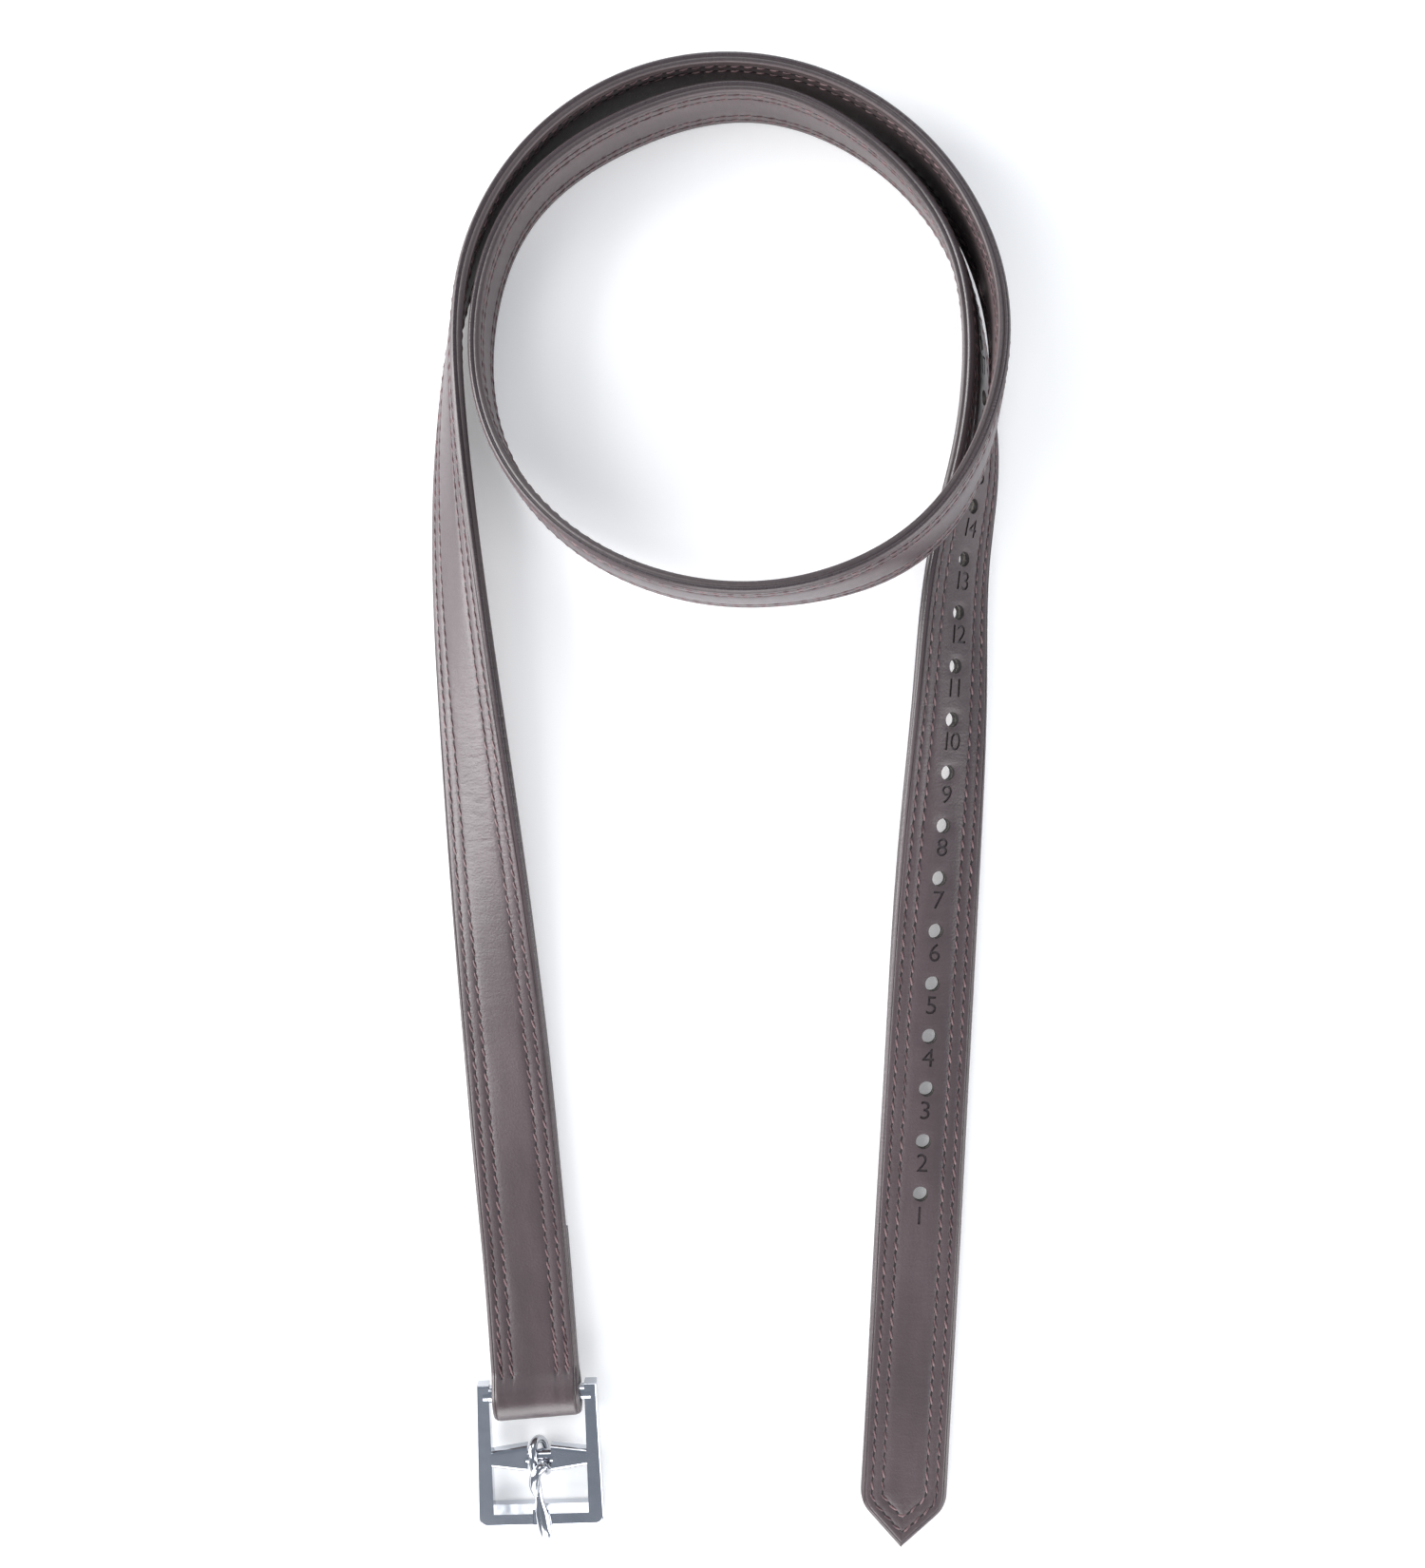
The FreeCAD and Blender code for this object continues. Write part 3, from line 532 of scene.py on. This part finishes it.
def leather_skin(name, face, side):
    """One leather as a closed tube; side is 1 for the grain side and -1 for the back."""
    places = places_along()
    half_loop = INNER_FACE + face
    loop = [(1, *point) for point in half_loop] + [(-1, *point) for point in reversed(half_loop)]
    loop.append(loop[0])
    columns, rows = len(loop), len(places)
    deselect()
    bpy.ops.mesh.primitive_grid_add(x_subdivisions=rows - 1, y_subdivisions=columns - 1, size=1)
    piece = bpy.context.object
    piece.name = name
    spot = points_of(piece)
    row = np.rint((spot[:, 0] + 0.5) * (rows - 1)).astype(int)
    column = np.rint((spot[:, 1] + 0.5) * (columns - 1)).astype(int)
    along = places[row]
    lateral, inset, _ = np.array(loop)[column].T
    is_inner = np.isin(column, [i for i, point in enumerate(loop) if point[1:] in INNER_FACE])
    reach = np.minimum(inset, (TIP - along) * math.sin(tip_slope))
    top = np.interp(reach, *zip(*sorted(face)))
    edge_heights = np.array(loop)[column][:, 2]
    top = np.where(inset <= 0.7, edge_heights, top)
    under = np.interp(reach, *zip(*sorted(INNER_FACE)))
    sewn = smooth_step((along - 1) / 5) + smooth_step((-FOLD_LENGTH - 1 - along) / 5)
    top = np.where(inset > 2, top + (1.77 - top) * (1 - sewn), top)
    height = np.where(is_inner, under, top)
    wander = 0.05 * np.sin(along / 17.0) + 0.04 * np.sin(along / 5.3 + inset)
    height = height + np.where(is_inner | (inset < 1), 0, 0.5 * wander)
    drift = 0.06 * np.sin(along / 17.0) * smooth_step((shoulder_along - along) / 20)
    across = lateral * half_outline(along, inset) + drift
    flat = np.stack([along, -side * across, side * height], -1)
    set_points(piece, flat * MM)
    return piece


def press_rims(piece, side):
    """Sink the leather a little round each punched hole."""
    flat = points_of(piece) / MM
    nearest = np.min(np.hypot(flat[:, :1] - hole_places, flat[:, 1:2]), axis=1)
    dip = 0.22 * (1 - smooth_step((nearest - HOLE_RADIUS) / 1.3))
    flat[:, 2] -= side * dip * (side * flat[:, 2] > 1.2)
    set_points(piece, flat * MM)


def close_ends(piece):
    """Weld the seam of the tube and fill its two ends."""
    def fill():
        bpy.ops.mesh.select_all(action="DESELECT")
        bpy.ops.mesh.select_non_manifold()
        bpy.ops.mesh.edge_face_add()

    edit(piece, merge, fill)
    edit(piece, outward)


# %% [markdown]
# ## Punching and stamping
#
# The holes are real holes through both leathers, so the ground shows through them, and the sizes
# beside them are pressed into the grain. Both are cut on the bench, where every hole is upright:
# the punches are cylinders and the stamps are digits made solid.

# %% Punches and stamps, in millimetres
PUNCH_LENGTH = 9
STAMP_SIZE = 7.6
STAMP_STEP = 6.5
STAMP_FACE = 1.72
PRESSED_FLOOR = 1.62
ABOVE_LEATHER = 3.0


def punch_tool():
    """All the hole punches as one object."""
    tools = []
    for place in hole_places:
        bpy.ops.mesh.primitive_cylinder_add(
            vertices=28, radius=HOLE_RADIUS * MM, depth=PUNCH_LENGTH * MM, location=(place * MM, 0, 0))
        tools.append(bpy.context.object)
    tool = join(tools, "punch")
    bpy.ops.object.transform_apply(location=True, rotation=True, scale=True)
    # The walls of the holes take the near-black copy of the leather, painted shade.
    finish_with(tool, hole_wall_shade_finish)
    return tool


def stamp_tool():
    """The hole numbers, upright when the tip points down, each one step from its hole."""
    stamps = []
    for number, place in enumerate(hole_places, start=1):
        bpy.ops.object.text_add(
            location=((place + STAMP_STEP) * MM, 0, STAMP_FACE * MM), rotation=(0, 0, math.radians(90)))
        text = bpy.context.object
        text.data.body = str(number)
        text.data.align_x, text.data.align_y = "CENTER", "CENTER"
        text.data.size = STAMP_SIZE * MM
        text.data.space_character = 0.75
        text.data.resolution_u = 3
        text.data.extrude = 0.9 * MM
        bpy.ops.object.convert(target="MESH")
        stamps.append(bpy.context.object)
    tool = join(stamps, "stamps")
    bpy.ops.object.transform_apply(location=True, rotation=True, scale=True)
    flat = points_of(tool)
    flat[:, 2] = np.where(flat[:, 2] > STAMP_FACE * MM, ABOVE_LEATHER * MM, PRESSED_FLOOR * MM)
    set_points(tool, flat)
    edit(tool, merge, outward)
    # The stamped recesses take the darker copy of the leather, painted shade.
    finish_with(tool, stamp_shade_finish)
    return tool


# %% Make both leathers
grain = leather_skin("grain_skin", GRAIN_FACE, 1)
backing = leather_skin("backing_skin", FLESH_FACE, -1)
for piece, side, finish in ((grain, 1, grain_finish), (backing, -1, flesh_finish)):
    press_rims(piece, side)
    close_ends(piece)
    finish_with(piece, finish)
    cut_with(piece, punch_tool())
cut_with(grain, stamp_tool())
for piece in (grain, backing):
    lay_on_route(piece)
    print(piece.name, "faces:", len(piece.data.polygons))


# %% [markdown]
# ## Stitches
#
# A lockstitch lies in its groove as a row of short slanted strands, each diving into the hole where
# the next one comes up. One strand and one dark patch of painted shade at its hole are modelled, an
# Array modifier repeats them in a straight row of the row's own length, and the row is then bent round
# the point of the strap and laid on the route. Separate objects for three thousand stitches would be slow and
# no better.

# %% The line of a row
STITCH_PITCH = 3.7
ROW_INSETS = {"outer": 3.05, "inner": 6.15}
ROW_START = 5.0
FRONT_GROOVE, BACK_GROOVE = 1.52, 1.58
BACK_ROW_MARGIN, TURNBACK_ROW_MARGIN = 1.0, 3.0
TACK_STITCHES = 3
TACK_START = 0.45
TACK_RISE = 0.06
TACK_ASIDE = 0.34


def row_line(inset, start):
    """Points of a row on the bench: up the left side, round the point, back on the right."""
    apex = TIP - inset / math.sin(tip_slope)
    straight = np.arange(start, shoulder_along - 1, 4.0)
    along = np.concatenate([straight, np.linspace(shoulder_along, apex - 1.2, 40)])
    half = half_outline(along, inset)
    nose = apex - 0.75
    along = np.concatenate([along, [nose], along[::-1]])
    left = np.concatenate([half, [0.0], -half[::-1]])
    length = np.concatenate([[0], np.cumsum(np.hypot(np.diff(along), np.diff(left)))])
    return length, along, left


def bend_row(piece, line, side):
    """Bend a straight row of stitches to its line. side is -1 for the back of the strap."""
    length, along, left = line
    flat = points_of(piece) / MM
    run = flat[:, 0]
    ahead, behind = np.minimum(run + 0.6, length[-1]), np.maximum(run - 0.6, 0)
    direction = np.stack([np.interp(ahead, length, along) - np.interp(behind, length, along),
                          np.interp(ahead, length, left) - np.interp(behind, length, left)], -1)
    direction /= np.linalg.norm(direction, axis=-1, keepdims=True)
    offset = side * flat[:, 1]
    new = np.stack([np.interp(run, length, along) - offset * direction[:, 1],
                    np.interp(run, length, left) + offset * direction[:, 0], side * flat[:, 2]], -1)
    set_points(piece, new * MM)


# %% One stitch and its hole
def one_stitch(pitch, groove):
    """A slanted strand with both ends down in the groove, and a flat dark patch at its start, painted shade
    for the needle hole.
    """
    bpy.ops.mesh.primitive_uv_sphere_add(segments=8, ring_count=6, radius=1)
    strand = bpy.context.object
    spot = points_of(strand)
    reach, around, up = spot[:, 2], spot[:, 1], spot[:, 0]
    bulge = np.sqrt(np.maximum(1 - reach ** 2, 0))
    fuller = np.where(bulge > 0, np.maximum(bulge, 0.0) ** -0.45, 0)
    along = reach * (pitch - 0.55) / 2
    across = around * fuller * 0.30 + along * 0.26
    height = groove - 0.16 + 0.40 * (1 - reach ** 2) + up * fuller * 0.24
    set_points(strand, np.stack([along + pitch / 2, across, height], -1) * MM)
    # The hole is a flat, nearly black patch on the groove: painted shade where the thread dives in.
    bpy.ops.mesh.primitive_uv_sphere_add(segments=8, ring_count=5, radius=1)
    hole = bpy.context.object
    spot = points_of(hole)
    slant = spot[:, 1] * 0.46 - spot[:, 0] * 0.24
    shape = np.stack([spot[:, 0], slant, groove + 0.03 + spot[:, 2] * 0.10], -1)
    set_points(hole, shape * MM)
    for piece, finish in ((strand, thread_finish), (hole, awl_shade_finish)):
        finish_with(piece, finish)
        edit(piece, outward)
    return join([hole, strand], "stitch")


def repeat(piece, count, pitch):
    """A straight row of copies."""
    array = piece.modifiers.new("row", "ARRAY")
    array.count, array.use_relative_offset, array.use_constant_offset = count, False, True
    array.constant_offset_displace = (pitch * MM, 0, 0)
    apply_all(piece)
    return piece


def moved(piece, along, across):
    flat = points_of(piece)
    flat[:, 0] += along * MM
    flat[:, 1] += across * MM
    set_points(piece, flat)
    return piece


def stitch_row(name, line, groove, side, tacked):
    """One row, with its first stitches sewn over twice where it starts at the buckle."""
    total = line[0][-1]
    count = int(round(total / STITCH_PITCH))
    pitch = total / count
    parts = [repeat(one_stitch(pitch, groove), count, pitch)]
    if tacked:
        for start in (TACK_START * pitch, total - (TACK_STITCHES + TACK_START) * pitch):
            tack = repeat(one_stitch(pitch, groove + TACK_RISE), TACK_STITCHES, pitch)
            parts.append(moved(tack, start, TACK_ASIDE))
    row = join(parts, name)
    bend_row(row, line, side)
    return row


# %% Sew the strap
rows = {}
for label, inset in ROW_INSETS.items():
    front = stitch_row(label + "_front_stitches", row_line(inset, ROW_START), FRONT_GROOVE, 1, tacked=True)
    rows[label + "_needle_thread"] = front
    back_line = row_line(inset, TURNBACK + BACK_ROW_MARGIN)
    back = stitch_row(label + "_back_stitches", back_line, BACK_GROOVE, -1, tacked=False)
    rows[label + "_bobbin_thread"] = back
    runs = []
    for left in (HALF_WIDTH - inset, inset - HALF_WIDTH):
        along = np.array([TURNBACK_END + TURNBACK_ROW_MARGIN, -FOLD_LENGTH - ROW_START])
        line = (np.array([0, along[1] - along[0]]), along, np.array([left, left]))
        runs.append(stitch_row("run", line, FRONT_GROOVE, 1, tacked=False))
    rows[label + "_turnback_thread"] = join(runs, label + "_turnback_stitches")
for node, row in rows.items():
    lay_on_route(row)
    print(row.name, "faces:", len(row.data.polygons))


# %% [markdown]
# ## The tongue
#
# The tongue is forged from one wire: a flattened prong with a narrow neck, a turn round the middle
# of the buckle's centre bar, and a tail that comes up in front and curls over the neck. A NURBS path
# with a round bevel, thinned and thickened point by point, is that same wire; the prong is then
# flattened. It is made about the bar's axis and moved there, tilted as the buckle is.

# %% Wire of the tongue: x along the bar, y towards the strap, z up, thickness; millimetres
WIRE = [
    (1.45, -24.5, 2.75, 0.55), (1.4, -23.9, 2.95, 0.95), (1.2, -22.0, 3.4, 1.25), (0.75, -19.0, 3.5, 1.30),
    (0.25, -15.5, 3.45, 1.28), (-0.15, -12.0, 3.4, 1.18), (-0.4, -8.8, 3.5, 1.08), (-0.8, -5.2, 3.8, 1.15),
    (-1.3, -1.4, 3.95, 1.3), (-1.85, 2.2, 3.75, 1.35), (-1.7, 4.8, 2.0, 1.25), (-0.6, 5.4, -0.6, 1.15),
    (0.9, 3.6, -2.9, 1.15), (1.5, 0.0, -3.75, 1.15), (1.9, -3.3, -2.9, 1.15), (2.15, -4.6, -0.3, 1.15),
    (2.2, -3.4, 2.6, 1.15), (1.9, -1.0, 5.2, 1.25), (0.8, 0.2, 6.9, 1.4), (-0.9, -2.0, 7.3, 1.6),
    (-1.2, -5.0, 6.9, 1.65), (-0.95, -7.4, 6.1, 1.25), (-0.9, -8.8, 5.6, 0.8), (-0.85, -9.3, 5.45, 0.4),
]


def wire_piece(name, wire):
    """A mesh round a NURBS path of varying thickness."""
    bpy.ops.curve.primitive_nurbs_path_add(radius=1)
    path = bpy.context.object
    path.name = name
    spline = path.data.splines[0]
    spline.points.add(len(wire) - len(spline.points))
    for point, (x, y, z, thickness) in zip(spline.points, wire):
        point.co = (x * MM, y * MM, z * MM, 1)
        point.radius = thickness
    spline.use_endpoint_u, spline.order_u = True, 4
    spline.resolution_u = 5
    path.data.bevel_depth, path.data.bevel_resolution, path.data.use_fill_caps = MM, 4, True
    bpy.ops.object.convert(target="MESH")
    piece = bpy.context.object
    edit(piece, merge, outward)
    return piece


# %% Forge, flatten and hang the tongue
pivot = Vector(joints["tongue_lift"]["pos_m"])
bar_axis = Vector(joints["buckle_swing"]["axis"]) * -1
swing_centre = Vector(joints["buckle_swing"]["pos_m"])
towards_strap = (swing_centre - pivot).normalized()
up = bar_axis.cross(towards_strap).normalized()
seat = Matrix((bar_axis, towards_strap, up)).transposed()

tongue = wire_piece("tongue_wire", WIRE)
spot = points_of(tongue) / MM
prong = smooth_step((-10.5 - spot[:, 1]) / 6) * smooth_step((spot[:, 1] + 25.6) / 3.5)
middle_x = np.interp(spot[:, 1], [-24.5, -19.0, -12.0, -8.8], [1.45, 0.75, -0.15, -0.4])
spot[:, 0] = middle_x + (spot[:, 0] - middle_x) * (1 + 0.55 * prong * (spot[:, 1] < -9))
set_points(tongue, (spot * MM) @ np.array(seat).T + np.array(pivot))
pick(tongue)
bpy.ops.object.shade_smooth()
finish_with(tongue, tongue_finish)
print("tongue faces:", len(tongue.data.polygons))


# %% [markdown]
# ## The buckle and the webbing
#
# The cast frame and the webbing core keep their CAD shapes, which are already as smooth and as
# detailed as the real ones, and take the better finishes.

# %% Finishes on the CAD shapes
for name, finish in (("buckle_frame", frame_steel), ("core_webbing", webbing_finish)):
    for material_slot in frame["nodes"][name].material_slots:
        material_slot.material = finish


# %% [markdown]
# ## Hang everything on the frame
#
# The strap's pieces ride the strap, and the tongue rides its own body, so every pose carries them.

# %% Bodies and replaced shapes
strap_pieces = [(grain, "front_leather", "grain_leather"), (backing, "back_leather", "backing_leather")]
strap_pieces += [(row, node, "thread") for node, row in rows.items()]
for piece, node, slot in strap_pieces:
    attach(piece, "strap")
    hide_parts(node)
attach(tongue, "tongue")
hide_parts("buckle_tongue")


# %% [markdown]
# ## The room
#
# A white table seen from straight above, with large soft lights at its sides, so that the leather
# shows its sheen and the steel has something bright and something dull to reflect.

# %% Table
bpy.ops.mesh.primitive_plane_add(size=4, location=(0, 0, -0.0005))
table = bpy.context.object
table.name = "table"
table_finish, shader, start = finish_named("table")
connect(shader, Base_Color=(0.86, 0.86, 0.86, 1), Roughness=0.9,
        Emission_Color=(1, 1, 1, 1), Emission_Strength=0.22)
finish_with(table, table_finish)


# %% Lights
def softbox(name, place, size, power, colour=(1, 1, 1)):
    """A big square light aimed at the middle of the coil."""
    aim = Vector((0, 0, 0)) - Vector(place)
    bpy.ops.object.light_add(type="AREA", location=place, rotation=aim.to_track_quat("-Z", "Y").to_euler())
    light = bpy.context.object
    light.name = name
    light.data.shape, light.data.size, light.data.energy, light.data.color = "SQUARE", size, power, colour


softbox("left", (-1.25, 0.15, 0.50), 1.0, 34)
softbox("left_high", (-0.9, -0.1, 1.25), 0.7, 5)
softbox("right", (1.15, -0.65, 0.50), 0.9, 13)
softbox("near", (-0.1, -1.3, 0.45), 1.0, 19)
softbox("near_high", (-0.38, -0.80, 1.15), 0.5, 0.07)
softbox("far", (0.1, 1.3, 0.9), 0.8, 6)
world = bpy.data.worlds.new("room")
bpy.context.scene.world = world
world.use_nodes = True
world.node_tree.nodes["Background"].inputs["Color"].default_value = (0.265, 0.295, 0.345, 1)
world.node_tree.nodes["Background"].inputs["Strength"].default_value = 1.0


# %% Camera, straight above the middle of the route
CAMERA_HEIGHT = 0.520
deselect()
camera_place = (route_shift[0] * MM, route_shift[1] * MM, CAMERA_HEIGHT)
bpy.ops.object.camera_add(location=camera_place, rotation=(0, 0, 0))
camera = bpy.context.object
camera.data.sensor_width = 36
camera.data.lens = 40.62
camera.data.clip_start = 0.01
bpy.context.scene.camera = camera
bpy.context.scene.view_settings.view_transform = "Standard"
